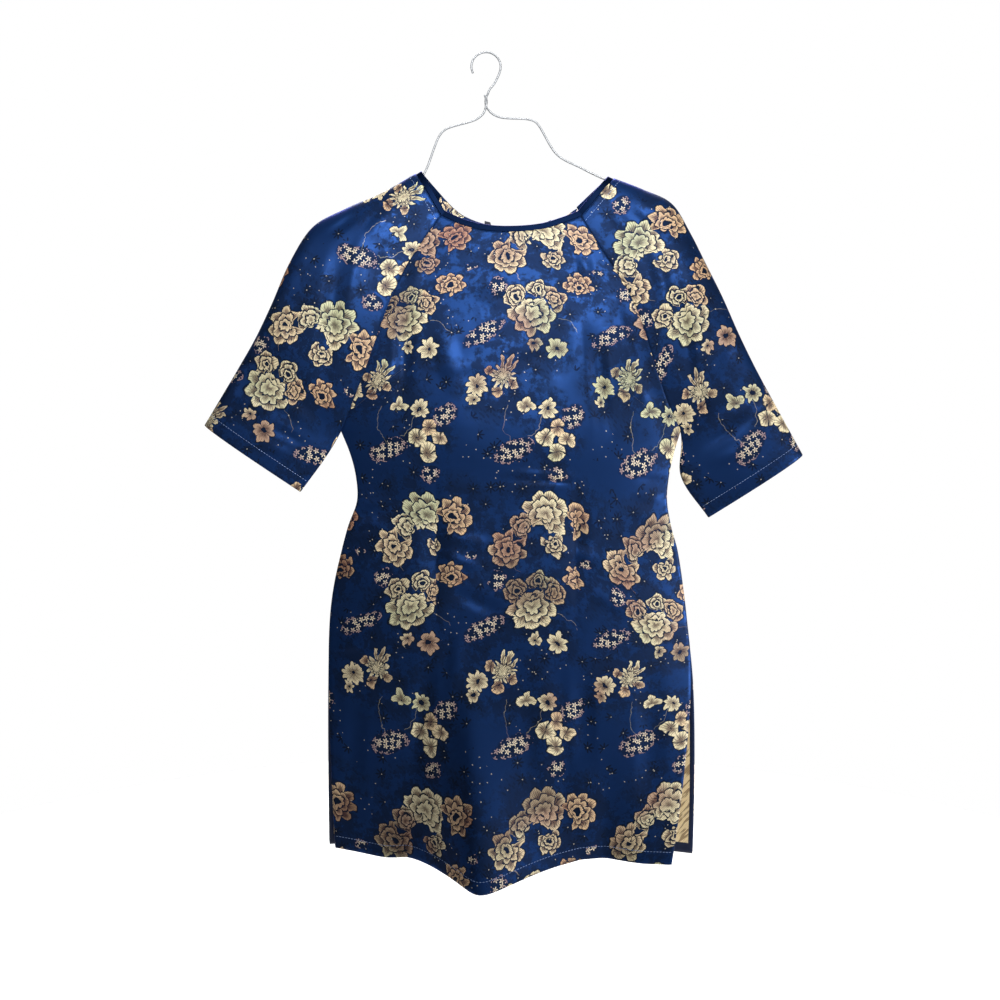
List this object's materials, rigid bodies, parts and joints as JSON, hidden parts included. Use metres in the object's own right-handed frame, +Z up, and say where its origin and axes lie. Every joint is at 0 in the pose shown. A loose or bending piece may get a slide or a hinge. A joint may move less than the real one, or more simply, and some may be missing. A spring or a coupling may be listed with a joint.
{
  "type": "short-sleeved brocade dress on a hanger",
  "caption": "Fitted brocade dress with raglan short sleeves, side slits and a back zip, hung on a bent-wire hanger by its shoulders.",
  "frame": {"origin": "the point inside the top of the hanger's hook where it rests on a rail", "axes": "+Z up, +X across the dress towards its left sleeve as worn (right as seen from the front), and the front of the dress faces -Y"},
  "size_m": [0.747, 0.1112, 1.0253],
  "materials": {
    "brocade": "navy satin brocade with woven gold flowers",
    "zip_tape": "dark woven tape",
    "label": "plain white satin ribbon",
    "zip_metal": "dark enamel",
    "wire": "thin plated wire"
  },
  "bodies": {
    "dress": {"front": "brocade", "back_left": "brocade", "back_right": "brocade", "sleeve_left": "brocade", "sleeve_right": "brocade", "neck_band": "brocade", "neck_facing_left": "brocade", "neck_facing_right": "brocade", "zip_tape_left": "zip_tape", "zip_tape_right": "zip_tape", "neck_label": "label", "zip_slider": "zip_metal", "hanger": "wire"},
    "pull_tab": {"zip_pull": "zip_metal"}
  },
  "joints": [
    {"name": "pull_hinge", "type": "hinge", "parent": "dress", "child": "pull_tab", "pos_m": [0.03901, 0.02807, -0.3792], "axis": [1, 0, 0], "range_deg": [0, 150]}
  ]
}
